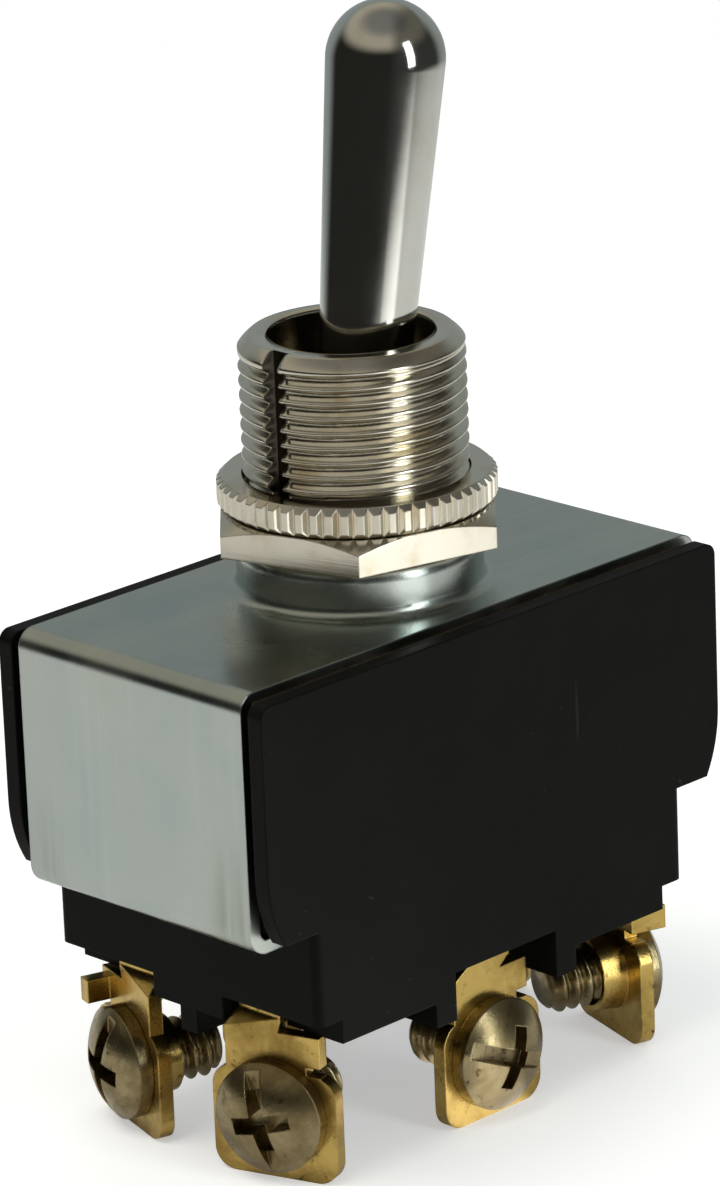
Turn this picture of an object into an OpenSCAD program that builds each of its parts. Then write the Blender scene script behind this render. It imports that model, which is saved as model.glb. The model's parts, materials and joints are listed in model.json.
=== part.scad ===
// Double-pole panel toggle switch: a bat lever in a threaded bushing, a folded steel
// frame crimped round a moulded case, and six screw terminals below it.
// Z is up. The terminals stand on z = 0 and the bushing axis is the Z axis.
// X runs along the rows of three terminals and Y runs across the two poles.

/* [Case] */
// Length over the four wings of the moulded case
case_length = 33.8; // [33:0.1:38]
// Width over the side walls of the case
case_width = 19.4; // [19:0.1:22]
// Height of the wings, from the crimping shoulder up to the rim
wing_height = 13.0; // [12.5:0.1:16]
// Thickness of the wings and of the rim beside the steel frame
wing_thickness = 0.95; // [0.7:0.05:1.1]
// Height of the curved lower corner of each wing
wing_curve_height = 3.7; // [2:0.1:5]
// How far the curved lower corner of each wing runs back
wing_curve_run = 1.0; // [0.4:0.1:1.6]
// Radius of the upper outer corner of each wing
wing_top_radius = 0.7; // [0.3:0.1:1.5]
// Distance from the rim of the case up to the top of the frame
rim_drop = 0.3; // [0.1:0.05:0.6]
// Gap between the frame's lips and the base below the crimping shoulder
lip_gap = 0.8; // [0.3:0.05:1.2]
// Height of the base, from the shoulder down to the ceilings of the terminal pockets
base_height = 5.2; // [4.8:0.1:6]
// Radius of the upright corners of the base
base_corner_radius = 0.5; // [0.2:0.1:1]
// Thickness of the side walls round the cavity
side_wall = 1.25; // [1.15:0.05:1.6]
// Thickness of the wall outside each end terminal
end_wall = 0.75; // [0.5:0.05:0.8]
// Thickness of the floor under the rockers
floor_thickness = 1.3; // [1:0.1:1.6]
// Thickness of the wall between the two poles
partition_thickness = 1.4; // [1:0.1:1.8]

/* [Underside] */
// Depth of the pockets that the terminals come out of
pocket_depth = 1.3; // [0.8:0.1:1.6]
// Half width of the block between the two end pockets
end_block_half = 2.6; // [2:0.05:2.65]
// Half length of the pocket at each middle terminal
mid_pocket_half = 3.8; // [3.4:0.1:4.2]
// How far the insulating barriers stand below the case
barrier_depth = 1.35; // [0.8:0.05:2]
// Thickness of the barriers between neighbouring terminals
barrier_thickness = 1.5; // [1:0.1:2]
// Thickness of the barrier between the two poles
keel_thickness = 1.25; // [0.8:0.05:1.8]

/* [Frame] */
// Thickness of the steel sheet
sheet = 0.75; // [0.6:0.05:0.9]
// Gap between each side of the frame and the wings of the case
frame_side_gap = 0.55; // [0.3:0.05:0.8]
// Outer radius of the two upper bends
bend_radius = 1.0; // [0.9:0.1:1.6]
// Outer radius of the crimped lower bends
crimp_radius = 1.2; // [1:0.1:1.6]
// Length of the lips that hook under the case, from the outer face
lip_length = 2.3; // [1.8:0.1:2.8]
// Outer diameter of the drawn boss round the bushing
boss_diameter = 13.0; // [12.8:0.1:14]
// Height of the drawn boss
boss_height = 2.8; // [2.4:0.1:3.4]
// Radius of the boss's upper shoulder
boss_shoulder = 0.9; // [0.5:0.1:0.9]
// Radius of the flare where the boss meets the sheet
boss_flare = 0.6; // [0.3:0.1:1]
// Thickness of the insulating card under the frame
card_thickness = 0.4; // [0.2:0.05:0.6]
// Diameter of the hole in the card for the lever's stem
card_hole = 8.4; // [8.2:0.1:9]

/* [Bushing and nuts] */
// Outer diameter of the threaded bushing
bushing_diameter = 11.9; // [11.7:0.05:12.1]
// Length of the bushing above the boss
bushing_length = 10.85; // [10.4:0.05:12.5]
// Chamfer at the mouth of the bushing
bushing_chamfer = 0.6; // [0.3:0.05:0.8]
// Diameter of the open bore at the mouth
bore_diameter = 8.8; // [8.6:0.05:9.2]
// Diameter of the throat over the ball
throat_diameter = 6.6; // [6.4:0.05:7]
// Width of the keyway along the bushing
keyway_width = 1.1; // [0.8:0.05:1.6]
// Depth of the keyway
keyway_depth = 0.85; // [0.4:0.05:0.9]
// Width of the hex nut across its flats
hex_across_flats = 14.3; // [13.6:0.05:15]
// Thickness of the hex nut
hex_thickness = 1.7; // [1.5:0.05:2.2]
// Diameter of the knurled ring nut over its teeth
ring_diameter = 14.7; // [14:0.1:16]
// Thickness of the knurled ring nut
ring_thickness = 1.65; // [1.4:0.05:2]
// Number of teeth round the ring nut
ring_teeth = 56; // [40:1:70]
// Depth of the knurl
knurl_depth = 0.32; // [0.2:0.02:0.4]

/* [Lever] */
// Lean of the lever at rest, towards +X
lever_tilt = 8.5; // [0:0.5:8.5]
// Height of the ball's centre above the boss
pivot_rise = 2.7; // [2.6:0.05:2.9]
// Diameter of the ball
ball_diameter = 7.9; // [7.7:0.05:7.9]
// Distance from the ball's centre to the tip of the lever
lever_reach = 25.3; // [22:0.1:30]
// Diameter of the bat at its dome
bat_tip_diameter = 6.24; // [5.8:0.02:6.4]
// Diameter of the bat where it would meet the ball's centre
bat_root_diameter = 4.28; // [4:0.02:4.4]
// Diameter of the stem below the ball
stem_diameter = 4.6; // [4.2:0.05:4.8]
// Diameter of the pin across the ball
pin_diameter = 1.6; // [1.2:0.05:1.8]

/* [Contact mechanism] */
// Distance of each pole from the middle of the switch
pole_offset = 4.5; // [4.4:0.05:4.6]
// Distance from the ball's centre to the centre of the plunger's round tip
tip_reach = 15.3; // [15.2:0.05:15.5]
// Diameter of each plunger
plunger_diameter = 2.4; // [2.2:0.05:2.5]
// Length of the round body of each plunger above its tip centre
plunger_length = 4.1; // [4:0.05:4.4]
// Distance from the ball's centre to the top of the plunger carrier
carrier_top = 7.6; // [7.5:0.05:7.8]
// Distance from the ball's centre to the bottom of the plunger carrier
carrier_bottom = 13.0; // [12.8:0.05:13.2]
// Width of the plunger carrier along the terminal rows
carrier_width = 4.8; // [4.4:0.1:5]
// Wire diameter of the plunger springs
spring_wire = 0.32; // [0.26:0.02:0.36]
// Turns in each plunger spring
spring_turns = 4.5; // [3.5:0.5:5]
// Tilt of each rocker at rest, to either side
rocker_tilt = 7; // [5:0.5:7]
// Rise of the rocker's two wings from its middle
wing_rise = 12.5; // [12:0.5:14]
// Length of each sloping wing, up to its contact pad
wing_run = 5.4; // [5:0.1:5.6]
// Half length of each contact pad
pad_half = 1.4; // [1.3:0.05:1.5]
// Thickness of the rockers
rocker_thickness = 0.8; // [0.7:0.05:0.9]
// Width of the rockers
rocker_width = 3.4; // [3:0.1:3.5]
// Diameter of the contact buttons
button_diameter = 2.2; // [1.8:0.1:2.4]
// Height of the moving contact buttons
button_height = 0.45; // [0.3:0.05:0.6]
// Height of the fixed contact buttons
fixed_button_height = 0.55; // [0.4:0.05:0.7]

/* [Terminals] */
// Thickness of the brass strip
strip = 0.8; // [0.7:0.05:0.85]
// Distance from the case's underside down to the tips of the terminals
terminal_drop = 8.2; // [7.8:0.1:10]
// Width of the screw plates
plate_width = 7.2; // [6.8:0.1:7.4]
// Height of the screw plates
plate_height = 5.9; // [5.6:0.1:6.2]
// Radius of the plates' corners
plate_radius = 1.2; // [0.6:0.1:1.6]
// Width of the necks above the plates
neck_width = 5.5; // [5:0.1:5.6]
// Width of the shanks that pass through the case
shank_width = 3.0; // [2.8:0.1:3]
// Distance from the middle of an end pole's plate to the middle of the switch
plate_offset = 5.5; // [5.4:0.05:5.6]
// How far the end plates stand out from their shanks
joggle = 0.15; // [0.1:0.05:0.3]
// Angle by which the end plates are splayed towards the sides
splay = 17.5; // [10:0.5:20]
// Height of the screws above the terminal tips
screw_height = 3.6; // [3.4:0.05:3.8]
// Outer diameter of the drawn collar behind each plate
collar_diameter = 4.6; // [4.4:0.1:5]
// Length of the drawn collar behind each plate
collar_length = 1.4; // [1:0.1:1.6]
// Height of the bent wire lug
lug_height = 1.3; // [1:0.1:1.5]
// How far the wire lugs stand out
lug_length = 1.3; // [1:0.1:1.9]
// How far the lug of the middle front terminal is folded back
lug_fold = 2.2; // [1.2:0.1:2.4]

/* [Terminal screws] */
// Diameter of the binding heads
head_diameter = 6.1; // [5.6:0.1:6.4]
// Height of the binding heads
head_height = 1.9; // [1.6:0.1:2.2]
// Outer diameter of the screw thread
screw_diameter = 3.5; // [3:0.1:3.6]
// Length of the screws under the head
screw_length = 4.9; // [4.4:0.1:5.5]
// Width of the slot and of the cross recess
slot_width = 0.9; // [0.6:0.05:1]
// Depth of the slot
slot_depth = 0.9; // [0.6:0.05:1.1]
// Depth of the cross recess
cross_depth = 1.4; // [1.1:0.05:1.5]

/* [Hidden] */
$fn = 64;
// Names of the separate pieces, one node each

// Signs of the two ends and of the two poles
LEFT = -1;
RIGHT = 1;
FRONT = -1;
REAR = 1;

// Clearances
fit = 0.05;           // running clearance of round parts, on the radius
seat_gap = 0.02;      // gap between flat faces that touch
slide_gap = 0.1;      // gap between sheet metal and moulding
tip_gap = 0.15;       // gap between a plunger's tip and its rocker
cut = 1;              // how far a cutting body passes the face it cuts

// Colours
steel_colour = [0.66, 0.70, 0.69];
nickel_colour = [0.72, 0.70, 0.65];
phenolic_colour = [0.09, 0.09, 0.09];
brass_colour = [0.70, 0.56, 0.25];
tarnish_colour = [0.45, 0.38, 0.25];
silver_colour = [0.80, 0.80, 0.78];
card_colour = [0.35, 0.27, 0.18];
spring_colour = [0.60, 0.60, 0.62];

// Levels, from the terminal tips upwards
underside_z = terminal_drop;
pocket_z = underside_z + pocket_depth;
shoulder_z = pocket_z + base_height;
rim_z = shoulder_z + wing_height;
frame_top = rim_z + rim_drop;
card_top = frame_top - sheet;
wall_top = card_top - card_thickness - seat_gap;
boss_top = frame_top + boss_height;
bushing_top = boss_top + bushing_length;
pivot_z = boss_top + pivot_rise;
floor_z = pocket_z + floor_thickness;

// Half sizes of the case, the frame and the cavity
wing_x = case_length / 2;
side_y = case_width / 2;
rim_inner_y = side_y - wing_thickness;
frame_width = 2 * (rim_inner_y - frame_side_gap);
frame_inner_x = wing_x - sheet;
body_x = frame_inner_x - slide_gap;
crimp_relief = crimp_radius - sheet + seat_gap;
base_x = wing_x - lip_length - lip_gap;
cavity_y = side_y - side_wall;
shank_outer_x = base_x - end_wall;
cavity_x = shank_outer_x + fit;
end_pocket_x = shank_outer_x - strip - slide_gap;
barrier_x = mid_pocket_half + barrier_thickness / 2;
mid_pocket_y = cavity_y - strip - slide_gap;

// Ball, bushing and lever
ball_r = ball_diameter / 2;
seat_r = ball_r + fit;
bushing_r = bushing_diameter / 2;
nut_bore_r = bushing_r + fit;
rivet_neck_r = bushing_r - 1.1;
rivet_flange_r = boss_diameter / 2 - sheet - 0.3;
rivet_flange_height = 0.5;
boss_r = boss_diameter / 2;
ring_top = boss_top + hex_thickness + ring_thickness + 2 * seat_gap;
groove_height = 0.6;
groove_depth = 0.35;
bat_tip_r = bat_tip_diameter / 2;
dome_z = lever_reach - bat_tip_r;
pin_r = pin_diameter / 2;
pin_half_length = bushing_r - 1.05;

// Rocker geometry, worked out from the plunger's path
plunger_r = plunger_diameter / 2;
ridge_r = strip / 2;
hub_r = ridge_r + 0.65;
rocker_z = pivot_z - tip_reach - plunger_r / cos(wing_rise) - tip_gap - hub_r;
pad_x = wing_run * cos(wing_rise) + pad_half * cos(rocker_tilt);
pad_z = hub_r + wing_run * sin(wing_rise) + pad_half * sin(rocker_tilt);
contact_x = pad_x * cos(rocker_tilt) + pad_z * sin(rocker_tilt);
pad_top_z = rocker_z + pad_z * cos(rocker_tilt) - pad_x * sin(rocker_tilt);
contact_z = pad_top_z - rocker_thickness - button_height - seat_gap;
arm_z = contact_z - fixed_button_height - strip;
pit_x = contact_x - 0.9;
arm_end_x = contact_x - 1.3;
spring_seat = tip_reach - plunger_length;
spring_top = carrier_top + 0.7;
plunger_bore_r = plunger_r + fit;
spring_coil_r = plunger_bore_r - spring_wire / 2 - 0.1;
spring_nose_r = spring_coil_r - spring_wire / 2 - 0.15;
button_r = button_diameter / 2;
rivet_r = button_r * 0.55;
partition_top = pivot_z - carrier_bottom - 0.9;

// Terminals and screws
screw_r = screw_diameter / 2;
screw_hole_r = screw_r + fit;
head_r = head_diameter / 2;
neck_top = underside_z - slide_gap;
slit = 0.5;
lug_z = plate_height + slit;
// Stub of the lug that was cut away on the left front terminal
lug_stub = 0;
// Turns of the six recesses away from upright, in degrees
screw_turns = [14, 68, 62, 8, 20, 50];

// Rectangle centred on the origin with round corners
module rounded_rect(length, width, radius) {
    square([length - 2 * radius, width], center = true);
    square([length, width - 2 * radius], center = true);
    for (x = [-1, 1], y = [-1, 1])
        translate([x * (length / 2 - radius), y * (width / 2 - radius)])
            circle(r = radius);
}

// Block centred on the Z axis between two levels, with round upright corners
module rounded_block(length, width, radius, bottom, top) {
    translate([0, 0, bottom])
        linear_extrude(height = top - bottom)
            rounded_rect(length, width, radius);
}

// Plain block between two opposite corners
module block(low, high) {
    translate(low)
        cube(high - low);
}

// Carries its children to the tilted lever, with the origin at the ball's centre
module on_lever() {
    translate([0, 0, pivot_z])
        rotate([0, lever_tilt, 0])
            children();
}

// Carries its children to a tilted rocker, with the origin on its ridge
module on_rocker(pole) {
    translate([0, pole * pole_offset, rocker_z])
        rotate([0, -rocker_tilt, 0])
            children();
}

// ---- Steel frame ----

// Side view of the folded sheet, drawn with X along the switch and Y upwards
module frame_profile() {
    lip_bottom = shoulder_z - seat_gap - sheet;
    height = frame_top - lip_bottom;
    inner_bend = bend_radius - sheet;
    inner_crimp = crimp_radius - sheet;
    difference() {
        union() {
            translate([0, lip_bottom + crimp_radius])
                square([2 * wing_x, height - crimp_radius - bend_radius], center = false);
            translate([bend_radius, lip_bottom])
                square([2 * (wing_x - bend_radius), height]);
            for (side = [0, 1]) {
                translate([side * 2 * (wing_x - bend_radius) + bend_radius, frame_top - bend_radius])
                    circle(r = bend_radius);
                translate([side * 2 * (wing_x - crimp_radius) + crimp_radius, lip_bottom + crimp_radius])
                    circle(r = crimp_radius);
            }
        }
        translate([sheet, lip_bottom + crimp_radius])
            square([2 * frame_inner_x, height - crimp_radius - bend_radius]);
        translate([bend_radius, lip_bottom + sheet])
            square([2 * (wing_x - bend_radius), height - 2 * sheet]);
        for (side = [0, 1]) {
            translate([side * 2 * (wing_x - bend_radius) + bend_radius, frame_top - bend_radius])
                circle(r = inner_bend);
            translate([side * 2 * (wing_x - crimp_radius) + crimp_radius, lip_bottom + crimp_radius])
                circle(r = inner_crimp);
        }
        translate([lip_length, lip_bottom - cut])
            square([2 * (wing_x - lip_length), crimp_radius + cut]);
    }
}

// Half section of the drawn boss, to be turned about the bushing axis
module boss_section() {
    square([boss_r - boss_shoulder, boss_height]);
    square([boss_r, boss_height - boss_shoulder]);
    translate([boss_r - boss_shoulder, boss_height - boss_shoulder])
        circle(r = boss_shoulder);
    difference() {
        translate([0, -sheet / 2])
            square([boss_r + boss_flare, boss_flare + sheet / 2]);
        translate([boss_r + boss_flare, boss_flare])
            circle(r = boss_flare);
    }
}

module frame() {
    color(steel_colour)
        difference() {
            union() {
                translate([-wing_x, frame_width / 2, 0])
                    rotate([90, 0, 0])
                        linear_extrude(height = frame_width)
                            frame_profile();
                translate([0, 0, frame_top])
                    rotate_extrude()
                        intersection() {
                            boss_section();
                            translate([0, -sheet])
                                square([2 * boss_r, boss_height + 2 * sheet]);
                        }
            }
            translate([0, 0, frame_top - sheet - cut])
                cylinder(r = boss_r - sheet, h = boss_height + cut);
            translate([0, 0, frame_top])
                cylinder(r = rivet_neck_r + fit, h = boss_height + cut);
        }
}

// ---- Bushing and nuts ----

module bushing() {
    rivet_z = boss_top - sheet - seat_gap - rivet_flange_height;
    throat_r = throat_diameter / 2;
    bore_r = bore_diameter / 2;
    throat_z = pivot_z + sqrt(seat_r * seat_r - throat_r * throat_r);
    mouth_z = throat_z + 1.2;
    color(nickel_colour)
        rotate([0, 0, 180])
            difference() {
                union() {
                    translate([0, 0, rivet_z])
                        cylinder(r = rivet_flange_r, h = rivet_flange_height);
                    translate([0, 0, rivet_z])
                        cylinder(r = rivet_neck_r, h = boss_top - rivet_z + cut);
                    translate([0, 0, boss_top])
                        cylinder(r = bushing_r, h = bushing_length - bushing_chamfer);
                    translate([0, 0, bushing_top - bushing_chamfer])
                        cylinder(r1 = bushing_r, r2 = bushing_r - bushing_chamfer, h = bushing_chamfer);
                }
                // room for the ball, its round seat, the throat and the open mouth
                translate([0, 0, rivet_z - cut])
                    cylinder(r = seat_r + fit, h = pivot_z - rivet_z + cut - 0.4);
                translate([0, 0, pivot_z])
                    sphere(r = seat_r);
                translate([0, 0, pivot_z])
                    cylinder(r = throat_r, h = bushing_length);
                translate([0, 0, throat_z])
                    cylinder(r1 = throat_r, r2 = bore_r, h = mouth_z - throat_z);
                translate([0, 0, mouth_z])
                    cylinder(r = bore_r, h = bushing_top - mouth_z + cut);
                // slots that the ends of the pivot pin turn in, open at the bottom
                block([-pin_r - fit, -pin_half_length - slide_gap, rivet_z - cut],
                      [pin_r + fit, pin_half_length + slide_gap, pivot_z]);
                translate([0, pin_half_length + slide_gap, pivot_z])
                    rotate([90, 0, 0])
                        cylinder(r = pin_r + fit, h = 2 * (pin_half_length + slide_gap));
                // keyway for a locating washer
                block([bushing_r - keyway_depth, -keyway_width / 2, boss_top + seat_gap],
                      [bushing_r + cut, keyway_width / 2, bushing_top + cut]);
                // runout groove of the thread, level with the top of the ring nut
                translate([0, 0, ring_top - groove_height])
                    difference() {
                        cylinder(r = bushing_r + cut, h = groove_height);
                        translate([0, 0, -cut])
                            cylinder(r = bushing_r - groove_depth, h = groove_height + 2 * cut);
                    }
            }
}

module hex_nut() {
    corner_r = hex_across_flats / 2 / cos(30);
    chamfer = corner_r - hex_across_flats / 2;
    bottom = boss_top + seat_gap;
    color(nickel_colour)
        translate([0, 0, bottom])
            difference() {
                intersection() {
                    // one corner points along each diagonal that halves the -X and -Y directions
                    rotate([0, 0, 45])
                        cylinder(r = corner_r, h = hex_thickness, $fn = 6);
                    union() {
                        cylinder(r = corner_r + fit, h = hex_thickness - chamfer / 2);
                        translate([0, 0, hex_thickness - chamfer / 2])
                            cylinder(r1 = corner_r + fit, r2 = corner_r + fit - chamfer, h = chamfer / 2);
                    }
                }
                translate([0, 0, -cut])
                    cylinder(r = nut_bore_r, h = hex_thickness + 2 * cut);
            }
}

// Outline of the knurled rim: a flat tooth and a V groove for each tooth
function knurl_points(teeth, tip_r, root_r) = [
    for (tooth = [0 : teeth - 1], corner = [0 : 2])
        let (turn = 360 / teeth * (tooth + [0, 0.42, 0.71][corner]))
            let (radius = corner == 2 ? root_r : tip_r)
                [radius * cos(turn), radius * sin(turn)]
];

module ring_nut() {
    ring_r = ring_diameter / 2;
    edge = 0.35;
    bottom = boss_top + hex_thickness + 2 * seat_gap;
    color(nickel_colour)
        translate([0, 0, bottom])
            difference() {
                intersection() {
                    linear_extrude(height = ring_thickness)
                        polygon(knurl_points(ring_teeth, ring_r, ring_r - knurl_depth));
                    union() {
                        cylinder(r1 = ring_r - edge, r2 = ring_r + fit, h = edge);
                        translate([0, 0, edge])
                            cylinder(r = ring_r + fit, h = ring_thickness - 2 * edge);
                        translate([0, 0, ring_thickness - edge])
                            cylinder(r1 = ring_r + fit, r2 = ring_r - edge, h = edge);
                    }
                }
                translate([0, 0, -cut])
                    cylinder(r = nut_bore_r, h = ring_thickness + 2 * cut);
            }
}

// ---- Lever ----

module toggle_lever() {
    stem_end = carrier_bottom - 1.4;
    color(nickel_colour)
        on_lever()
            difference() {
                union() {
                    cylinder(d1 = bat_root_diameter, d2 = bat_tip_diameter, h = dome_z);
                    translate([0, 0, dome_z])
                        sphere(r = bat_tip_r);
                    sphere(r = ball_r);
                    translate([0, 0, -stem_end])
                        cylinder(d = stem_diameter, h = stem_end);
                }
                translate([0, ball_r + cut, 0])
                    rotate([90, 0, 0])
                        cylinder(r = pin_r + seat_gap, h = 2 * (ball_r + cut));
            }
}

module pivot_pin() {
    color(steel_colour)
        on_lever()
            translate([0, pin_half_length, 0])
                rotate([90, 0, 0])
                    cylinder(r = pin_r, h = 2 * pin_half_length);
}

module plunger_carrier() {
    length = 2 * (pole_offset + plunger_bore_r + 1.1);
    color(phenolic_colour)
        on_lever()
            difference() {
                rounded_block(carrier_width, length, 0.8, -carrier_bottom, -carrier_top);
                translate([0, 0, -carrier_bottom + 1.4 - seat_gap])
                    cylinder(r = stem_diameter / 2 + seat_gap, h = carrier_bottom);
                for (pole = [FRONT, REAR])
                    translate([0, pole * pole_offset, -carrier_bottom - cut])
                        cylinder(r = plunger_bore_r, h = carrier_bottom - spring_top + cut);
            }
}

module plunger(pole) {
    color(steel_colour)
        on_lever()
            translate([0, pole * pole_offset, -tip_reach]) {
                sphere(r = plunger_r);
                cylinder(r = plunger_r, h = plunger_length);
                cylinder(r = spring_nose_r, h = plunger_length + 0.9);
            }
}

// ---- Springs ----

// Tube of round wire along a helix, closed at both ends
module coil(mean_r, wire_r, height, turns) {
    sides = 8;
    steps = ceil(turns * 14);
    rise = height - 2 * wire_r;
    lean = atan(rise / (turns * 2 * PI * mean_r));
    points = [
        for (step = [0 : steps], side = [0 : sides - 1])
            let (turn = 360 * turns * step / steps)
                let (around = 360 * side / sides)
                    let (out = wire_r * cos(around))
                        let (up = wire_r * sin(around))
                            [
                                (mean_r + out) * cos(turn) + up * sin(lean) * sin(turn),
                                (mean_r + out) * sin(turn) - up * sin(lean) * cos(turn),
                                wire_r + rise * step / steps + up * cos(lean)
                            ]
    ];
    skin = [
        for (step = [0 : steps - 1], side = [0 : sides - 1])
            let (next = (side + 1) % sides)
                [
                    step * sides + side,
                    (step + 1) * sides + side,
                    (step + 1) * sides + next,
                    step * sides + next
                ]
    ];
    bottom_cap = [[for (side = [0 : sides - 1]) side]];
    top_cap = [[for (side = [sides - 1 : -1 : 0]) steps * sides + side]];
    polyhedron(points = points, faces = concat(skin, bottom_cap, top_cap), convexity = 10);
}

module spring(pole) {
    length = spring_seat - spring_top - 2 * seat_gap;
    color(spring_colour)
        on_lever()
            translate([0, pole * pole_offset, -spring_seat + seat_gap])
                coil(spring_coil_r, spring_wire / 2, length, spring_turns);
}

// ---- Rockers ----

// Side view of a rocker, drawn with X along the switch and Y upwards from its ridge
module rocker_profile() {
    bend = [wing_run * cos(wing_rise), hub_r + wing_run * sin(wing_rise)];
    tip = bend + 2 * pad_half * [cos(rocker_tilt), sin(rocker_tilt)];
    drop_wing = rocker_thickness * [sin(wing_rise), -cos(wing_rise)];
    drop_pad = rocker_thickness * [sin(rocker_tilt), -cos(rocker_tilt)];
    right = [bend + (drop_wing + drop_pad) / 2, tip + drop_pad, tip, bend];
    left = [for (corner = [3 : -1 : 0]) [-right[corner][0], right[corner][1]]];
    middle = [[0, hub_r - rocker_thickness / cos(wing_rise)]];
    difference() {
        union() {
            intersection() {
                circle(r = hub_r);
                translate([-hub_r, 0])
                    square([2 * hub_r, 2 * hub_r]);
            }
            polygon(concat(middle, right, [[0, hub_r]], left));
        }
        circle(r = ridge_r + fit);
        translate([-ridge_r - fit, -cut])
            square([2 * (ridge_r + fit), cut]);
    }
}

// Carries its children to the middle of a contact pad's upper face
module on_pad(end) {
    mirror([end < 0 ? 1 : 0, 0, 0])
        translate([pad_x, 0, pad_z])
            rotate([0, -rocker_tilt, 0])
                children();
}

module rocker(pole) {
    color(brass_colour)
        on_rocker(pole)
            difference() {
                translate([0, rocker_width / 2, 0])
                    rotate([90, 0, 0])
                        linear_extrude(height = rocker_width)
                            rocker_profile();
                for (end = [LEFT, RIGHT])
                    on_pad(end)
                        translate([0, 0, -rocker_thickness - cut])
                            cylinder(r = rivet_r + seat_gap, h = rocker_thickness + 2 * cut);
            }
}

// The two silver buttons of a rocker, each with a shank through its pad
module rocker_contacts(pole) {
    color(silver_colour)
        on_rocker(pole)
            for (end = [LEFT, RIGHT])
                on_pad(end) {
                    translate([0, 0, -rocker_thickness - button_height])
                        cylinder(r = button_r, h = button_height - seat_gap / 2);
                    translate([0, 0, -rocker_thickness - button_height])
                        cylinder(r = rivet_r, h = rocker_thickness + button_height);
                }
}

// ---- Case and card ----

module insulating_card() {
    half_length = frame_inner_x - (bend_radius - sheet) - fit;
    half_width = rim_inner_y - 0.15;
    color(card_colour)
        difference() {
            rounded_block(2 * half_length, 2 * half_width, 0.4,
                          card_top - card_thickness - seat_gap / 2, card_top - seat_gap / 2);
            translate([0, 0, card_top - card_thickness - cut])
                cylinder(d = card_hole, h = card_thickness + 2 * cut);
        }
}

// Side view of a wing, drawn with X along the switch and Y upwards
module wing_profile() {
    curve_r = (wing_curve_height * wing_curve_height + wing_curve_run * wing_curve_run)
              / (2 * wing_curve_run);
    curve_z = shoulder_z + wing_curve_height;
    translate([-wing_x, curve_z])
        square([2 * wing_x, rim_z - curve_z - wing_top_radius]);
    translate([-wing_x + wing_top_radius, curve_z])
        square([2 * (wing_x - wing_top_radius), rim_z - curve_z]);
    for (side = [-1, 1])
        translate([side * (wing_x - wing_top_radius), rim_z - wing_top_radius])
            circle(r = wing_top_radius);
    translate([-wing_x + curve_r, shoulder_z])
        square([2 * (wing_x - curve_r), wing_curve_height]);
    intersection() {
        for (side = [-1, 1])
            translate([side * (wing_x - curve_r), curve_z])
                circle(r = curve_r);
        translate([-wing_x, shoulder_z])
            square([2 * wing_x, wing_curve_height]);
    }
}

// Slot that a terminal's shank passes through, between two levels
module shank_slot(bottom, top) {
    block([-strip - fit, -shank_width / 2 - fit, bottom - cut], [fit, shank_width / 2 + fit, top]);
}

module case() {
    color(phenolic_colour)
        difference() {
            union() {
                // side walls with their wings, and the body between them
                for (side = [FRONT, REAR])
                    translate([0, side * (side_y - wing_thickness / 2) + wing_thickness / 2, 0])
                        rotate([90, 0, 0])
                            linear_extrude(height = wing_thickness)
                                wing_profile();
                block([-body_x, -side_y + wing_thickness / 2, shoulder_z + crimp_relief],
                      [body_x, side_y - wing_thickness / 2, wall_top]);
                block([-body_x + crimp_relief, -side_y + wing_thickness / 2, shoulder_z],
                      [body_x - crimp_relief, side_y - wing_thickness / 2, wall_top]);
                // base, with the underside that the barriers stand below
                rounded_block(2 * base_x, 2 * side_y, base_corner_radius, underside_z, shoulder_z);
                for (side = [-1, 1])
                    translate([side * barrier_x, 0, 0])
                        block([-barrier_thickness / 2, -side_y, underside_z - barrier_depth],
                              [barrier_thickness / 2, side_y, underside_z]);
                block([-base_x, -keel_thickness / 2, underside_z - barrier_depth],
                      [base_x, keel_thickness / 2, underside_z]);
            }
            // cavity with its ledges, and the deeper pit under the rockers
            difference() {
                union() {
                    block([-cavity_x, -cavity_y, arm_z - seat_gap], [cavity_x, cavity_y, wall_top + cut]);
                    block([-pit_x, -cavity_y, floor_z], [pit_x, cavity_y, wall_top]);
                }
                block([-cavity_x, -partition_thickness / 2, floor_z],
                      [cavity_x, partition_thickness / 2, partition_top]);
            }
            // pockets that the terminals come out of
            for (end = [LEFT, RIGHT], side = [FRONT, REAR])
                mirror([end < 0 ? 1 : 0, 0, 0])
                    mirror([0, side < 0 ? 1 : 0, 0])
                        block([end_pocket_x, end_block_half, underside_z - cut],
                              [base_x + cut, side_y + cut, pocket_z]);
            for (side = [FRONT, REAR])
                mirror([0, side < 0 ? 1 : 0, 0])
                    block([-mid_pocket_half, mid_pocket_y, underside_z - barrier_depth - cut],
                          [mid_pocket_half, side_y + cut, pocket_z]);
            // slots for the shanks
            for (end = [LEFT, RIGHT], pole = [FRONT, REAR])
                at_terminal(end, pole)
                    shank_slot(pocket_z, arm_z + cut);
            for (pole = [FRONT, REAR])
                at_terminal(0, pole)
                    shank_slot(pocket_z, floor_z + cut);
        }
}

// ---- Terminals ----

// Carries its children to a terminal, with +X pointing out of its screw plate's face,
// the origin on the outer face of its shank, and +Y towards its wire lug.
// end is -1, 0 or 1 along the row, and pole is -1 or 1.
module at_terminal(end, pole) {
    if (end == 0)
        translate([0, pole * cavity_y, 0])
            mirror([0, pole < 0 ? 1 : 0, 0])
                rotate([0, 0, 90])
                    mirror([0, 1, 0])
                        children();
    else
        mirror([end < 0 ? 1 : 0, 0, 0])
            mirror([0, pole < 0 ? 1 : 0, 0])
                translate([shank_outer_x, pole_offset, 0])
                    children();
}

// Carries its children from a terminal's shank to its splayed screw plate
module on_plate(end) {
    if (end == 0)
        children();
    else
        translate([joggle, plate_offset - pole_offset, 0])
            rotate([0, 0, splay])
                children();
}

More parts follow.
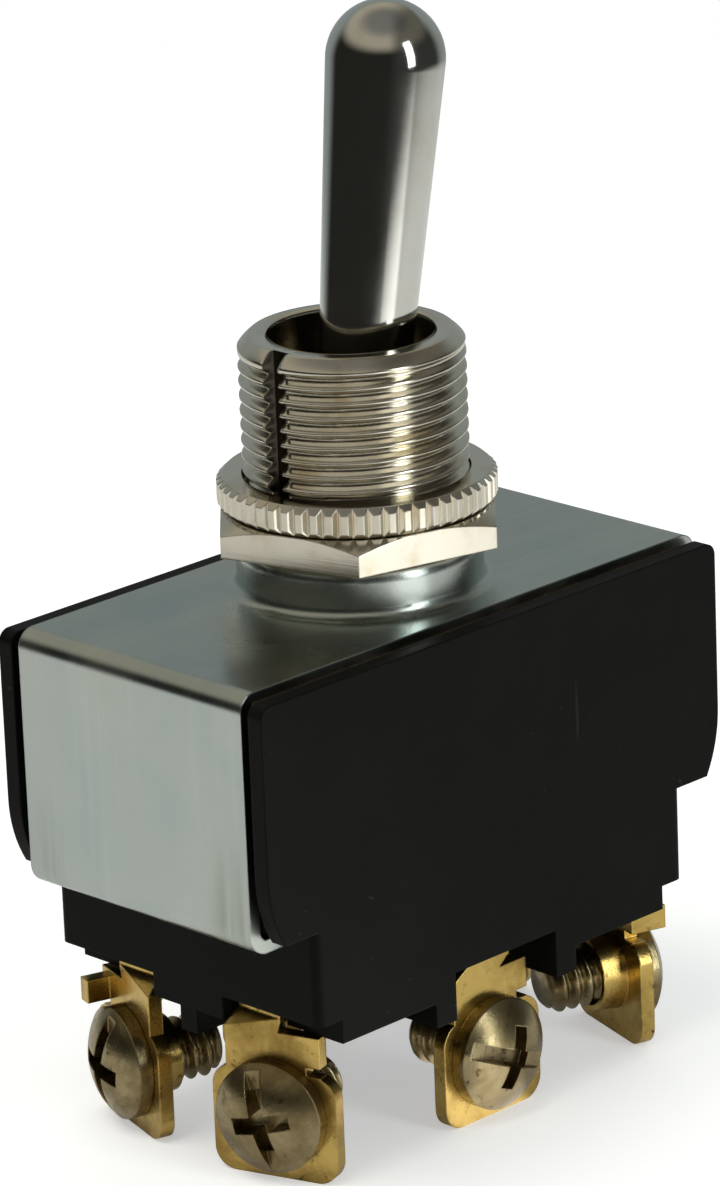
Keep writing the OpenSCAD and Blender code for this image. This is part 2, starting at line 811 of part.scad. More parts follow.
// Outline of the screw plate and neck, drawn with X across and Y upwards
module plate_profile() {
    half = plate_width / 2;
    translate([0, plate_height / 2])
        rounded_rect(plate_width, plate_height, plate_radius);
    difference() {
        translate([-neck_width / 2, plate_height / 2])
            square([neck_width, neck_top - plate_height / 2]);
        // slit that frees the wire lug from the plate
        translate([neck_width / 2 - strip, plate_height])
            square([half, slit]);
    }
}

// Stamped brass terminal with a drawn, tapped collar and a wire lug that is bent out or folded back
module terminal(end, pole, lug_out, lug_back = 0) {
    color(brass_colour)
        at_terminal(end, pole) {
            on_plate(end)
                difference() {
                    union() {
                        rotate([90, 0, -90])
                            mirror([1, 0, 0])
                                linear_extrude(height = strip)
                                    plate_profile();
                        translate([-max(lug_back, strip), neck_width / 2 - strip, lug_z])
                            cube([max(lug_back, strip) + lug_out, strip, lug_height]);
                        translate([-strip - collar_length, 0, screw_height])
                            rotate([0, 90, 0])
                                cylinder(r1 = collar_diameter / 2 - 0.2, r2 = collar_diameter / 2,
                                         h = collar_length + strip / 2);
                    }
                    translate([-strip - collar_length - cut, 0, screw_height])
                        rotate([0, 90, 0])
                            cylinder(r = screw_hole_r, h = collar_length + strip + 2 * cut);
                }
            // oblique facets between the splayed neck and the straight shank
            hull() {
                translate([-strip, -shank_width / 2, neck_top + 0.6])
                    cube([strip, shank_width, 0.2]);
                on_plate(end)
                    translate([-strip, -neck_width / 2, neck_top - 0.4])
                        cube([strip, shank_width, 0.4]);
            }
            translate([-strip, -shank_width / 2, neck_top + 0.5])
                cube([strip, shank_width, (end == 0 ? floor_z : arm_z) + strip - neck_top - 0.5]);
            if (end == 0) {
                // strap on the floor, with the upright ridge that its rocker tilts on
                strap_end = cavity_y - pole_offset + rocker_width / 2;
                block([-strap_end, -shank_width / 2, floor_z + seat_gap],
                      [0, shank_width / 2, floor_z + strip]);
                block([-strap_end, -strip / 2, floor_z + seat_gap],
                      [-strap_end + rocker_width, strip / 2, rocker_z]);
                translate([-strap_end, 0, rocker_z])
                    rotate([0, 90, 0])
                        cylinder(r = ridge_r, h = rocker_width);
            } else {
                // arm on the ledge, drilled for its contact
                difference() {
                    block([arm_end_x - shank_outer_x, -shank_width / 2, arm_z],
                          [0, shank_width / 2, arm_z + strip]);
                    translate([contact_x - shank_outer_x, 0, arm_z - cut])
                        cylinder(r = rivet_r + seat_gap, h = strip + 2 * cut);
                }
            }
        }
}

// Silver button riveted into a terminal's arm
module fixed_contact(end, pole) {
    color(silver_colour)
        at_terminal(end, pole)
            translate([contact_x - shank_outer_x, 0, 0]) {
                translate([0, 0, arm_z + strip + seat_gap / 2])
                    cylinder(r = button_r, h = fixed_button_height - seat_gap / 2);
                translate([0, 0, arm_z])
                    cylinder(r = rivet_r, h = strip + fixed_button_height);
            }
}

// ---- Terminal screws ----

// Half section of a binding head, to be turned about the screw's axis
module head_section() {
    rim_height = head_height * 0.4;
    dome_height = head_height - rim_height;
    dome_r = (head_r * head_r + dome_height * dome_height) / (2 * dome_height);
    square([head_r, rim_height]);
    intersection() {
        translate([0, head_height - dome_r])
            circle(r = dome_r);
        square([head_r, head_height]);
    }
}

// Binding-head screw with a slot and a cross recess; the underside of the head is at z = 0
module binding_screw(turn) {
    tail_chamfer = 0.4;
    difference() {
        union() {
            rotate_extrude()
                head_section();
            translate([0, 0, -screw_length + tail_chamfer])
                cylinder(r = screw_r, h = screw_length);
            translate([0, 0, -screw_length])
                cylinder(r1 = screw_r - tail_chamfer, r2 = screw_r, h = tail_chamfer);
        }
        rotate([0, 0, turn]) {
            block([-head_r - cut, -slot_width / 2, head_height - slot_depth],
                  [head_r + cut, slot_width / 2, head_height + cut]);
            for (quarter = [0, 90])
                rotate([0, 0, quarter])
                    block([-head_r * 0.55, -slot_width / 2, head_height - cross_depth],
                          [head_r * 0.55, slot_width / 2, head_height + cut]);
        }
    }
}

module terminal_screw(end, pole, turn) {
    color(tarnish_colour)
        at_terminal(end, pole)
            on_plate(end)
                translate([seat_gap, 0, screw_height])
                    rotate([0, 90, 0])
                        binding_screw(turn);
}

frame();
bushing();
hex_nut();
ring_nut();
toggle_lever();
pivot_pin();
plunger_carrier();
plunger(FRONT);  // plunger_front
plunger(REAR);  // plunger_rear
spring(FRONT);  // spring_front
spring(REAR);  // spring_rear
rocker(FRONT);  // rocker_front
rocker(REAR);  // rocker_rear
rocker_contacts(FRONT);  // rocker_contacts_front
rocker_contacts(REAR);  // rocker_contacts_rear
insulating_card();
case();
terminal(LEFT, FRONT, lug_stub);  // terminal_left_front
terminal(0, FRONT, 0, lug_fold);  // terminal_mid_front
terminal(RIGHT, FRONT, lug_length);  // terminal_right_front
terminal(LEFT, REAR, lug_length);  // terminal_left_rear
terminal(0, REAR, lug_length);  // terminal_mid_rear
terminal(RIGHT, REAR, lug_length);  // terminal_right_rear
terminal_screw(LEFT, FRONT, screw_turns[0]);  // screw_left_front
terminal_screw(0, FRONT, screw_turns[1]);  // screw_mid_front
terminal_screw(RIGHT, FRONT, screw_turns[2]);  // screw_right_front
terminal_screw(LEFT, REAR, screw_turns[3]);  // screw_left_rear
terminal_screw(0, REAR, screw_turns[4]);  // screw_mid_rear
terminal_screw(RIGHT, REAR, screw_turns[5]);  // screw_right_rear
fixed_contact(LEFT, FRONT);  // contact_left_front
fixed_contact(RIGHT, FRONT);  // contact_right_front
fixed_contact(LEFT, REAR);  // contact_left_rear
fixed_contact(RIGHT, REAR);  // contact_right_rear
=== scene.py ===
"""Panel toggle switch: materials, threads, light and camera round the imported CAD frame."""
import json
import math

import bmesh
import bpy
from mathutils import Matrix, Vector


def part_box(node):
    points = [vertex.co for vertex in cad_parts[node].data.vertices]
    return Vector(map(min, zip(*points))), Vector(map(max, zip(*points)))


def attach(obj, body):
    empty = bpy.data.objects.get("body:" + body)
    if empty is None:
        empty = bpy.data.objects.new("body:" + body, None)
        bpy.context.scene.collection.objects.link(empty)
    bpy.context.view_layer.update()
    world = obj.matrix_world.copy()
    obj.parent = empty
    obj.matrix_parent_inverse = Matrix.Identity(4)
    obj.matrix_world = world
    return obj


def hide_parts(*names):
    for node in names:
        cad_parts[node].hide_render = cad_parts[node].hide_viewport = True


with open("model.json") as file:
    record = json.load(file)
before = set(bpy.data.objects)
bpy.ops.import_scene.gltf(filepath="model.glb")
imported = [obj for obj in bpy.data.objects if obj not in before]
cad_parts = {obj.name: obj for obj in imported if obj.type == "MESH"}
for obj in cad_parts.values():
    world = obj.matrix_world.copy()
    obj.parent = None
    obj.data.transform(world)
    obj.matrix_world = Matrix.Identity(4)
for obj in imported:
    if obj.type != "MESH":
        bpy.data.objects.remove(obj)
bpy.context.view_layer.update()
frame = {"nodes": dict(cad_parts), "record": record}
nodes = frame["nodes"]
record = frame["record"]
MM = 0.001

BOSS_RISE = 2.8 * MM
boss_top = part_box("frame")[1].z
frame_top = boss_top - BOSS_RISE
bushing_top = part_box("bushing")[1].z


# ---------------------------------------------------------------- shader helpers

class Shader:
    """A material with a Principled BSDF and short calls for the nodes round it."""

    def __init__(self, name):
        self.material = bpy.data.materials.new(name)
        self.material.use_nodes = True
        self.tree = self.material.node_tree
        self.tree.nodes.clear()
        self.out = self.node("ShaderNodeOutputMaterial")
        self.bsdf = self.node("ShaderNodeBsdfPrincipled")
        self.link(self.bsdf.outputs[0], self.out.inputs[0])
        self.place = self.node("ShaderNodeTexCoord").outputs["Object"]

    def node(self, kind, **settings):
        made = self.tree.nodes.new(kind)
        for key, value in settings.items():
            setattr(made, key, value)
        return made

    def link(self, a, b):
        self.tree.links.new(a, b)

    def plug(self, socket, value):
        if hasattr(value, "is_linked"):
            self.link(value, socket)
        else:
            socket.default_value = value

    def scaled(self, factors):
        """The object's coordinates, stretched for streaks."""
        mapping = self.node("ShaderNodeMapping")
        self.link(self.place, mapping.inputs["Vector"])
        mapping.inputs["Scale"].default_value = factors
        return mapping.outputs[0]

    def noise(self, scale, detail=3.0, rough=0.55, place=None, distortion=0.0):
        made = self.node("ShaderNodeTexNoise")
        self.link(place or self.place, made.inputs["Vector"])
        made.inputs["Scale"].default_value = scale
        made.inputs["Detail"].default_value = detail
        made.inputs["Roughness"].default_value = rough
        made.inputs["Distortion"].default_value = distortion
        return made.outputs["Fac"]

    def ramp(self, value, low, high, start=0.0, end=1.0):
        """Maps low..high of value to start..end, clamped and smooth."""
        made = self.node("ShaderNodeMapRange", interpolation_type="SMOOTHSTEP")
        self.link(value, made.inputs["Value"])
        for key, number in zip(("From Min", "From Max", "To Min", "To Max"), (low, high, start, end)):
            made.inputs[key].default_value = number
        return made.outputs[0]

    def math(self, kind, a, b=0.0, c=0.0):
        made = self.node("ShaderNodeMath", operation=kind)
        for socket, value in zip(made.inputs, (a, b, c)):
            self.plug(socket, value)
        return made.outputs[0]

    def mix(self, factor, a, b):
        made = self.node("ShaderNodeMix", data_type="RGBA")
        self.plug(made.inputs[0], factor)
        for socket, value in ((made.inputs[6], a), (made.inputs[7], b)):
            self.plug(socket, value if hasattr(value, "is_linked") else (*value, 1.0))
        return made.outputs[2]

    def axes(self, place=None):
        made = self.node("ShaderNodeSeparateXYZ")
        self.link(place or self.place, made.inputs[0])
        return made.outputs

    def bump(self, height, distance, strength=1.0, bevel=0.0):
        made = self.node("ShaderNodeBump")
        made.inputs["Strength"].default_value = strength
        made.inputs["Distance"].default_value = distance
        self.link(height, made.inputs["Height"])
        if bevel:
            rounded = self.node("ShaderNodeBevel", samples=6)
            rounded.inputs["Radius"].default_value = bevel
            self.link(rounded.outputs[0], made.inputs["Normal"])
        self.link(made.outputs[0], self.bsdf.inputs["Normal"])

    def set(self, **values):
        names = {"base": "Base Color", "metal": "Metallic", "rough": "Roughness",
                 "specular": "Specular IOR Level"}
        for key, value in values.items():
            socket = self.bsdf.inputs[names[key]]
            if isinstance(value, tuple):
                value = (*value, 1.0)
            self.plug(socket, value)
        return self.material


# ---------------------------------------------------------------- materials

def nickel(name, tint, rough, patina, turned, keyed=False):
    """Bright plate over turned brass: fine turning lines and a cloudy patina."""
    s = Shader(name)
    clouds = s.noise(420.0, 4.0, 0.6)
    spots = s.noise(2600.0, 3.0, 0.7)
    lines = s.noise(900.0, 2.0, 0.5, s.scaled((0.08, 0.08, 9.0)))
    stained = s.ramp(clouds, 0.45, 0.75, 0.0, patina)
    base = s.mix(stained, tint, (tint[0] * 0.80, tint[1] * 0.72, tint[2] * 0.55))
    base = s.mix(s.ramp(spots, 0.66, 0.78, 0.0, 0.35), base, (0.20, 0.17, 0.12))
    varied = s.math("MULTIPLY_ADD", clouds, 0.12, rough - 0.06)
    if keyed:
        # painted shade: near-black fills the keyway, which is also made rougher
        x, y, z = s.axes()
        keyway_shade = s.math("MULTIPLY", s.ramp(x, -4.98 * MM, -5.06 * MM),
                      s.ramp(s.math("ABSOLUTE", y), 0.60 * MM, 0.53 * MM))
        base = s.mix(keyway_shade, base, (0.022, 0.016, 0.010))
        varied = s.math("ADD", varied, s.math("MULTIPLY", keyway_shade, 0.38))
    s.bump(s.math("ADD", s.math("MULTIPLY", lines, turned), s.math("MULTIPLY", spots, 0.25)), 0.005 * MM, 0.4,
           0.10 * MM)
    return s.set(base=base, metal=1.0, rough=varied)


def zinc():
    """Zinc-plated sheet: a cool sheen with rolled grain along the strip and soft smudges."""
    s = Shader("zinc_plate")
    x, y, z = s.axes()
    along = s.noise(260.0, 3.0, 0.6, s.scaled((0.10, 2.2, 0.10)))
    clouds = s.noise(150.0, 4.0, 0.55, distortion=0.6)
    fine = s.noise(3200.0, 2.0, 0.6)
    base = s.mix(s.ramp(clouds, 0.3, 0.72), (0.40, 0.45, 0.43), (0.49, 0.52, 0.48))
    base = s.mix(s.ramp(along, 0.45, 0.75, 0.0, 0.35), base, (0.55, 0.58, 0.53))
    # painted shade: darker low on the end faces, towards their sides beside the crimp, broken up by the grain
    low = s.ramp(z, 22.0 * MM, 15.0 * MM)
    side = s.ramp(s.math("ABSOLUTE", y), 4.6 * MM, 6.6 * MM)
    painted_low_shade = s.math("MULTIPLY", s.math("MULTIPLY", low, side), s.ramp(along, 0.40, 0.62))
    base = s.mix(s.math("MULTIPLY", painted_low_shade, 0.55), base, (0.36, 0.37, 0.31))
    rough = s.math("ADD", s.ramp(clouds, 0.3, 0.8, 0.20, 0.34), s.math("MULTIPLY", painted_low_shade, 0.18))
    s.bump(s.math("ADD", along, s.math("MULTIPLY", fine, 0.35)), 0.012 * MM, 0.5, 0.14 * MM)
    return s.set(base=base, metal=1.0, rough=rough)


def phenolic():
    """Black moulding: satin skin with a fine grain, pale dust and a few scuffs."""
    s = Shader("black_phenolic")
    grain = s.noise(2400.0, 3.0, 0.6)
    clouds = s.noise(170.0, 4.0, 0.6)
    specks = s.noise(1500.0, 2.0, 0.5)
    hairs = s.noise(240.0, 2.0, 0.5, s.scaled((7.0, 7.0, 0.5)))
    base = s.mix(s.ramp(clouds, 0.35, 0.75), (0.0045, 0.0045, 0.0040), (0.0080, 0.0080, 0.0070))
    base = s.mix(s.ramp(specks, 0.74, 0.80, 0.0, 0.5), base, (0.035, 0.035, 0.030))
    base = s.mix(s.ramp(hairs, 0.76, 0.80, 0.0, 0.22), base, (0.05, 0.05, 0.044))
    rough = s.ramp(clouds, 0.3, 0.8, 0.42, 0.58)
    s.bump(s.math("ADD", grain, s.math("MULTIPLY", clouds, 0.8)), 0.02 * MM, 0.45, 0.16 * MM)
    return s.set(base=base, rough=rough, specular=0.06)


def brass(name, clean, dull, dark, amount, rough):
    """Stamped brass: bright where it is clean, brown where it is not, with dark pits."""
    s = Shader(name)
    clouds = s.noise(330.0, 5.0, 0.62, distortion=0.4)
    pits = s.noise(1300.0, 4.0, 0.7)
    fine = s.noise(5200.0, 2.0, 0.6)
    base = s.mix(s.ramp(clouds, 0.50 - amount * 0.3, 0.80 - amount * 0.3), clean, dull)
    base = s.mix(s.ramp(pits, 0.62 - amount * 0.10, 0.74), base, dark)
    varied = s.ramp(clouds, 0.3, 0.75, rough, rough + 0.20)
    s.bump(s.math("ADD", pits, s.math("MULTIPLY", fine, 0.3)), 0.02 * MM, 0.55, 0.12 * MM)
    return s.set(base=base, metal=1.0, rough=varied)


def plain_metal(name, tint, rough):
    """Drawn or turned metal inside the case."""
    s = Shader(name)
    clouds = s.noise(700.0, 3.0, 0.6)
    lines = s.noise(1500.0, 2.0, 0.5, s.scaled((0.2, 0.2, 6.0)))
    base = s.mix(s.ramp(clouds, 0.4, 0.75), tint, tuple(c * 0.78 for c in tint))
    s.bump(lines, 0.006 * MM, 0.5, 0.06 * MM)
    return s.set(base=base, metal=1.0, rough=s.ramp(clouds, 0.3, 0.8, rough, rough + 0.14))


def fibre():
    """Vulcanised fibre card."""
    s = Shader("fibre_card")
    threads = s.noise(900.0, 5.0, 0.7, s.scaled((1.0, 4.0, 1.0)))
    base = s.mix(s.ramp(threads, 0.35, 0.7), (0.22, 0.14, 0.08), (0.34, 0.23, 0.14))
    s.bump(threads, 0.03 * MM, 0.5)
    return s.set(base=base, rough=s.ramp(threads, 0.3, 0.7, 0.65, 0.85), specular=0.3)


NICKEL = nickel("nickel_thread", (0.64, 0.60, 0.51), 0.17, 0.6, 0.8)
THREAD = nickel("nickel_bushing", (0.64, 0.60, 0.51), 0.17, 0.6, 0.8, keyed=True)
LEVER = nickel("nickel_lever", (0.62, 0.61, 0.57), 0.09, 0.3, 0.06)
ZINC = zinc()
PHENOLIC = phenolic()
BRASS = brass("brass_strip", (0.62, 0.43, 0.13), (0.34, 0.22, 0.06), (0.09, 0.05, 0.015), 0.35, 0.18)
SCREW = brass("screw_plate", (0.36, 0.29, 0.16), (0.20, 0.15, 0.07), (0.06, 0.035, 0.015), 0.5, 0.20)
SILVER = plain_metal("silver_button", (0.86, 0.86, 0.83), 0.25)
STEEL = plain_metal("drawn_steel", (0.56, 0.56, 0.57), 0.24)
ROCKER = plain_metal("rocker_brass", (0.80, 0.60, 0.28), 0.24)
FIBRE = fibre()


LOOKS = {
    "frame": ZINC, "bushing": NICKEL, "hex_nut": NICKEL, "ring_nut": NICKEL, "toggle_lever": LEVER,
    "pivot_pin": STEEL, "plunger": STEEL, "spring": STEEL, "rocker_contacts": SILVER, "rocker": ROCKER,
    "contact": SILVER, "insulating_card": FIBRE, "case": PHENOLIC, "terminal": BRASS, "screw": SCREW,
    "plunger_carrier": PHENOLIC,
}
for name, obj in nodes.items():
    # the longest match, so that a rocker's contacts are not taken for the rocker
    key = max((k for k in LOOKS if name.startswith(k)), key=len)
    for index in range(max(1, len(obj.material_slots))):
        if obj.material_slots:
            obj.material_slots[index].material = LOOKS[key]
        else:
            obj.data.materials.append(LOOKS[key])


# ---------------------------------------------------------------- threads

INCH = 25.4 * MM
PITCH = INCH / 32       # both threads are drawn at 32 turns to the inch
THREAD_RUNOUT = 0.3     # share of a turn over which a groove starts and ends
SHARP_ANGLE = math.radians(42)


def thread_cut(z, angle, first, last):
    """Depth of a right-hand thread groove from 0 to 1 at a height and an angle."""
    turn = angle / (2 * math.pi)
    phase = z / PITCH - turn
    whole = math.floor(phase)
    groove = (whole + 0.5 + turn) * PITCH
    across = abs(phase - whole - 0.5) * 2
    flank = min(1.0, max(0.0, (0.86 - across) / 0.78))
    start = min(1.0, max(0.0, (first - groove) / (THREAD_RUNOUT * PITCH)))
    end = min(1.0, max(0.0, (groove - last) / (THREAD_RUNOUT * PITCH)))
    return flank * start * end


def add_grid(mesh, rows):
    """Joins closed rows of points with quads; each row has the same number of points."""
    made = [[mesh.verts.new(p) for p in row] for row in rows]
    count = len(rows[0])
    for a, b in zip(made, made[1:]):
        for i in range(count):
            j = (i + 1) % count
            mesh.faces.new((a[i], a[j], b[j], b[i]))
    return made


def new_object(name, mesh, material, body, replaced):
    """A smooth object in place of a CAD node, riding on its body."""
    data = bpy.data.meshes.new(name)
    mesh.to_mesh(data)
    mesh.free()
    data.shade_smooth()
    data.set_sharp_from_angle(angle=SHARP_ANGLE)
    obj = bpy.data.objects.new(name, data)
    bpy.context.scene.collection.objects.link(obj)
    data.materials.append(material)
    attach(obj, body)
    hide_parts(replaced)
    return obj


def threaded_bushing():
    """The bushing with its real thread: the CAD's inside and flange, and a new outside."""
    crest, depth, chamfer, mouth = 5.95 * MM, 0.44 * MM, 0.6 * MM, 4.4 * MM
    key_half, key_x = 0.55 * MM, 5.1 * MM
    inside, plain, lift = 5.02 * MM, 0.22 * MM, 0.02 * MM
    steps, rows_per_turn = 150, 11
    mesh = bmesh.new()
    mesh.from_mesh(nodes["bushing"].data)
    gone = []
    for face in mesh.faces:
        c = face.calc_center_median()
        flat = math.hypot(c.x, c.y)
        rim = face.normal.z > 0.9 and c.z > bushing_top - 0.1 * MM
        if c.z > boss_top + 0.01 * MM and (flat > inside or rim):
            gone.append(face)
    bmesh.ops.delete(mesh, geom=gone, context="FACES")
    top = bushing_top - chamfer
    bottom = boss_top + lift
    edge = math.asin(key_half / crest)
    angles = [math.pi + edge + (2 * math.pi - 2 * edge) * i / steps for i in range(steps + 1)]
    count = int((top - bottom) / PITCH * rows_per_turn)
    heights = [bottom + (top - bottom) * i / count for i in range(count + 1)]

    def ring(z, radius_at):
        row = []
        for angle in angles:
            r = radius_at(angle)
            if angle in (angles[0], angles[-1]):
                y = math.copysign(key_half, math.sin(angle))
                row.append(Vector((-math.sqrt(r * r - y * y), y, z)))
            else:
                row.append(Vector((r * math.cos(angle), r * math.sin(angle), z)))
        row.append(Vector((-key_x, key_half, z)))
        row.append(Vector((-key_x, 0.0, z)))
        row.append(Vector((-key_x, -key_half, z)))
        return row

    rows = []
    for z in heights:
        rows.append(ring(z, lambda a: crest - depth * thread_cut(z, a, top - plain, bottom)))
    for share in (0.12, 0.3, 0.5, 0.72, 0.88):
        bulge = 0.05 * MM * math.sin(math.pi * share)
        rows.append(ring(top + chamfer * share, lambda a: crest - chamfer * share + bulge))
    rim = []
    for r, drop in ((crest - chamfer, 0.0), (5.12 * MM, 0.0), (mouth + 0.14 * MM, 0.0), (mouth, 0.12 * MM)):
        rim.append(ring(bushing_top - drop, lambda a: r))
    # inside the keyway the rim follows its floor, so nothing of the ring reaches past it
    for row in rim:
        for i in range(len(row) - 3, len(row)):
            if row[i].x < row[0].x:
                row[i].x = row[0].x
    add_grid(mesh, rows + rim)
    return new_object("bushing_thread", mesh, THREAD, "switch_body", "bushing")


def threaded_screw(name, place, axis):
    """A terminal screw with its thread, and the CAD's head with its recess."""
    major, depth, length, point = 1.75 * MM, 0.42 * MM, 4.9 * MM, 0.45 * MM
    plain, lift = 1.4 * MM, 0.02 * MM
    steps, rows_per_turn = 40, 9
    z_axis = Vector(axis).normalized()
    y_axis = Vector((0, 0, 1))
    x_axis = y_axis.cross(z_axis)
    local = Matrix((x_axis, y_axis, z_axis)).transposed().to_4x4()
    local.translation = Vector(place) + z_axis * lift
    mesh = bmesh.new()
    mesh.from_mesh(nodes[name].data)
    bmesh.ops.transform(mesh, matrix=local.inverted(), verts=mesh.verts)
    shank = [f for f in mesh.faces if f.calc_center_median().z < -0.01 * MM]
    bmesh.ops.delete(mesh, geom=shank, context="FACES")
    rows = []
    count = int(length / PITCH * rows_per_turn)
    for i in range(count + 1):
        z = -length * i / count
        taper = min(1.0, (length + z) / point)
        row = []
        for j in range(steps):
            angle = 2 * math.pi * j / steps
            r = major - depth * thread_cut(z, angle, -plain, -length)
            r = min(r, major - (1 - taper) * point)
            row.append(Vector((r * math.cos(angle), r * math.sin(angle), z)))
        rows.append(row)
    rows.reverse()
    made = add_grid(mesh, rows)
    mesh.faces.new(list(reversed(made[0])))
    bmesh.ops.transform(mesh, matrix=local, verts=mesh.verts)
    return new_object(name + "_thread", mesh, SCREW, name, name)


threaded_bushing()
for mount in record["mounts"]:
    if mount["name"].startswith("wire_"):
        threaded_screw("screw_" + mount["name"][5:], mount["pos_m"], mount["axis"])


# ---------------------------------------------------------------- camera

def set_camera():
    """The photograph's view, fitted on the edges of the frame, the case and the bushing."""
    az, el, roll = math.radians(44.475), math.radians(18.563), math.radians(-2.316)
    distance, lens, sensor = 334.626 * MM, 193.798078, 36.0
    # how far the view's centre lies from the middle of the frame's top
    aside, above = -0.0527261 * MM, -0.6832386 * MM
    ahead = Vector((math.cos(el) * math.sin(az), math.cos(el) * math.cos(az), -math.sin(el)))
    right = Vector((math.cos(az), -math.sin(az), 0))
    up = right.cross(ahead)
    right, up = (right * math.cos(roll) + up * math.sin(roll), up * math.cos(roll) - right * math.sin(roll))
    place = Vector((0, 0, frame_top)) - ahead * distance
    place += up * above + right * aside
    data = bpy.data.cameras.new("camera")
    data.sensor_fit = "AUTO"
    data.sensor_width = sensor
    data.lens = lens
    data.clip_start, data.clip_end = 0.01, 20.0
    camera = bpy.data.objects.new("camera", data)
    bpy.context.scene.collection.objects.link(camera)
    turn = Matrix((right, up, -ahead)).transposed().to_4x4()
    turn.translation = place
    camera.matrix_world = turn
    bpy.context.scene.camera = camera
    return az


view_turn = set_camera()


# ---------------------------------------------------------------- floor, lamps and world

def add_floor():
    """A pale disc that catches the shadow and fades into the white surround."""
    mesh = bmesh.new()
    angles = [math.pi * i / 32 for i in range(64)]
    rings = [[Vector((r * math.cos(a), r * math.sin(a), 0.0)) for a in angles]
             for r in (0.002, 0.02, 0.05, 0.10, 0.15, 0.20, 0.26)]
    made = add_grid(mesh, rings)
    mesh.faces.new(made[0])
    bmesh.ops.recalc_face_normals(mesh, faces=mesh.faces)
    data = bpy.data.meshes.new("floor")
    mesh.to_mesh(data)
    mesh.free()
    obj = bpy.data.objects.new("floor", data)
    bpy.context.scene.collection.objects.link(obj)
    obj.rotation_euler.z = -view_turn
    obj.location.z = -0.02 * MM
    s = Shader("floor_white")
    s.set(base=(0.80, 0.80, 0.79), rough=0.9, specular=0.0)
    x, y, z = s.axes()
    path = s.node("ShaderNodeLightPath")
    seen = s.math("MAXIMUM", path.outputs["Is Camera Ray"], path.outputs["Is Transmission Ray"])
    # the window's sheen lies on the floor to the right of the camera
    turn = s.math("ARCTAN2", x, s.math("MULTIPLY", y, -1.0))
    sheen = s.math("MULTIPLY", s.ramp(turn, 0.40, 0.55), s.ramp(turn, 1.15, 0.98))
    mirrored = s.math("MULTIPLY", path.outputs["Is Glossy Ray"], s.math("MULTIPLY_ADD", sheen, 1.0, 0.08))
    glow = s.node("ShaderNodeEmission")
    s.link(s.math("MULTIPLY_ADD", seen, 0.42, mirrored), glow.inputs["Strength"])
    both = s.node("ShaderNodeAddShader")
    s.link(s.bsdf.outputs[0], both.inputs[0])
    s.link(glow.outputs[0], both.inputs[1])
    clear = s.node("ShaderNodeBsdfTransparent")
    faded = s.node("ShaderNodeMixShader")
    away = s.math("SQRT", s.math("ADD", s.math("MULTIPLY", x, x), s.math("MULTIPLY", y, y)))
    s.link(s.ramp(away, 0.13, 0.25), faded.inputs[0])
    s.link(both.outputs[0], faded.inputs[1])
    s.link(clear.outputs[0], faded.inputs[2])
    s.link(faded.outputs[0], s.out.inputs[0])
    data.materials.append(s.material)


def add_lamp(name, turn, height, distance, size, power, colour=(1, 1, 1), aim=(0, 0, 0.03), mirrored=True):
    """An area lamp; turn is in degrees to the right of the camera, seen from the switch."""
    data = bpy.data.lights.new(name, "AREA")
    data.shape = "RECTANGLE"
    data.size, data.size_y = size
    data.energy = power
    data.color = colour
    obj = bpy.data.objects.new(name, data)
    bpy.context.scene.collection.objects.link(obj)
    angle = math.pi * 1.5 - view_turn + math.radians(turn)
    place = Vector((math.cos(angle) * distance, math.sin(angle) * distance, height))
    obj.location = place
    obj.rotation_euler = (place - Vector(aim)).to_track_quat("Z", "Y").to_euler()
    obj.visible_camera = False
    obj.visible_glossy = mirrored
    return obj


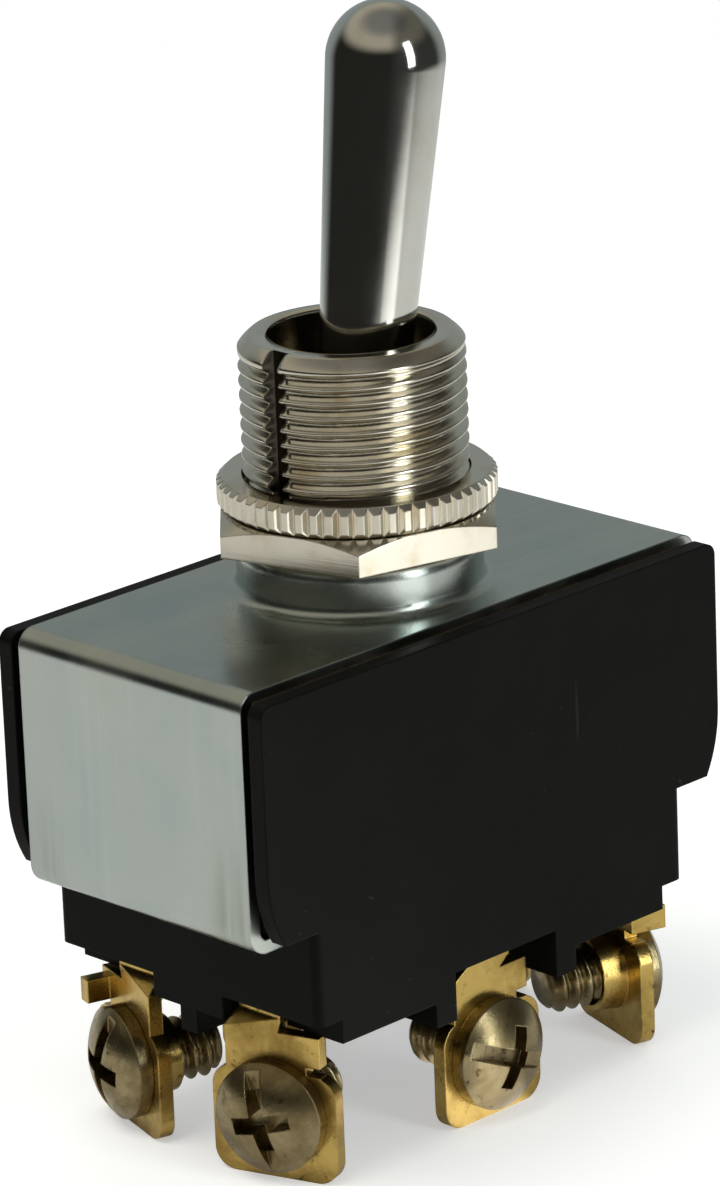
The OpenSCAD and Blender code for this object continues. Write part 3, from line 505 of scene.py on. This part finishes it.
def set_world():
    """A dim room with a lit back wall and ceiling for metal, even light for matt faces, white behind."""
    world = bpy.data.worlds.new("room")
    bpy.context.scene.world = world
    world.use_nodes = True
    tree = world.node_tree
    tree.nodes.clear()

    def node(kind, **settings):
        made = tree.nodes.new(kind)
        for key, value in settings.items():
            setattr(made, key, value)
        return made

    def plug(socket, value):
        if hasattr(value, "is_linked"):
            tree.links.new(value, socket)
        else:
            socket.default_value = value

    def calc(kind, a, b=0.0, c=0.0):
        made = node("ShaderNodeMath", operation=kind)
        for socket, value in zip(made.inputs, (a, b, c)):
            plug(socket, value)
        return made.outputs[0]

    def ramp(value, low, high, start=0.0, end=1.0):
        made = node("ShaderNodeMapRange", interpolation_type="SMOOTHSTEP")
        keys = ("Value", "From Min", "From Max", "To Min", "To Max")
        for key, number in zip(keys, (value, low, high, start, end)):
            plug(made.inputs[key], number)
        return made.outputs[0]

    def mix(factor, a, b):
        made = node("ShaderNodeMix", data_type="RGBA")
        plug(made.inputs[0], factor)
        for socket, value in ((made.inputs[6], a), (made.inputs[7], b)):
            plug(socket, value if hasattr(value, "is_linked") else (*value, 1.0))
        return made.outputs[2]

    out = node("ShaderNodeOutputWorld")
    ground = node("ShaderNodeBackground")
    tree.links.new(ground.outputs[0], out.inputs[0])
    split = node("ShaderNodeSeparateXYZ")
    tree.links.new(node("ShaderNodeTexCoord").outputs["Generated"], split.inputs[0])
    x, y, z = split.outputs
    cos_turn, sin_turn = math.cos(view_turn), math.sin(view_turn)
    right = calc("SUBTRACT", calc("MULTIPLY", x, cos_turn), calc("MULTIPLY", y, sin_turn))
    ahead = calc("ADD", calc("MULTIPLY", x, sin_turn), calc("MULTIPLY", y, cos_turn))
    room = mix(ramp(z, 0.30, 0.62), (0.022, 0.022, 0.020), (0.46, 0.43, 0.35))
    room = mix(ramp(z, 0.72, 0.96), room, (0.22, 0.22, 0.21))
    room = mix(calc("MULTIPLY", ramp(right, 0.05, 0.5), 0.75), room, (0.05, 0.052, 0.05))
    wall = calc("MULTIPLY", ramp(ahead, 0.30, 0.75), ramp(z, 0.62, 0.45))
    room = mix(wall, room, (0.30, 0.335, 0.335))
    path = node("ShaderNodeLightPath")
    even = mix(path.outputs["Is Diffuse Ray"], room, (0.42, 0.43, 0.43))
    seen = calc("MAXIMUM", path.outputs["Is Camera Ray"], path.outputs["Is Transmission Ray"])
    tree.links.new(mix(seen, even, (1.0, 1.0, 1.0)), ground.inputs["Color"])
    ground.inputs["Strength"].default_value = 1.0


add_floor()
set_world()
add_lamp("window", 50, 0.16, 0.42, (0.11, 0.34), 0.55, (0.93, 1.0, 0.99), aim=(0, 0, 0.045))
add_lamp("ceiling", -60, 0.75, 0.30, (0.55, 0.45), 2.6, (1.0, 0.97, 0.90), mirrored=False)
add_lamp("back_wall", 165, 0.42, 0.75, (0.80, 0.40), 1.5, (0.90, 1.0, 1.0), mirrored=False)

scene = bpy.context.scene
scene.view_settings.view_transform = "Standard"
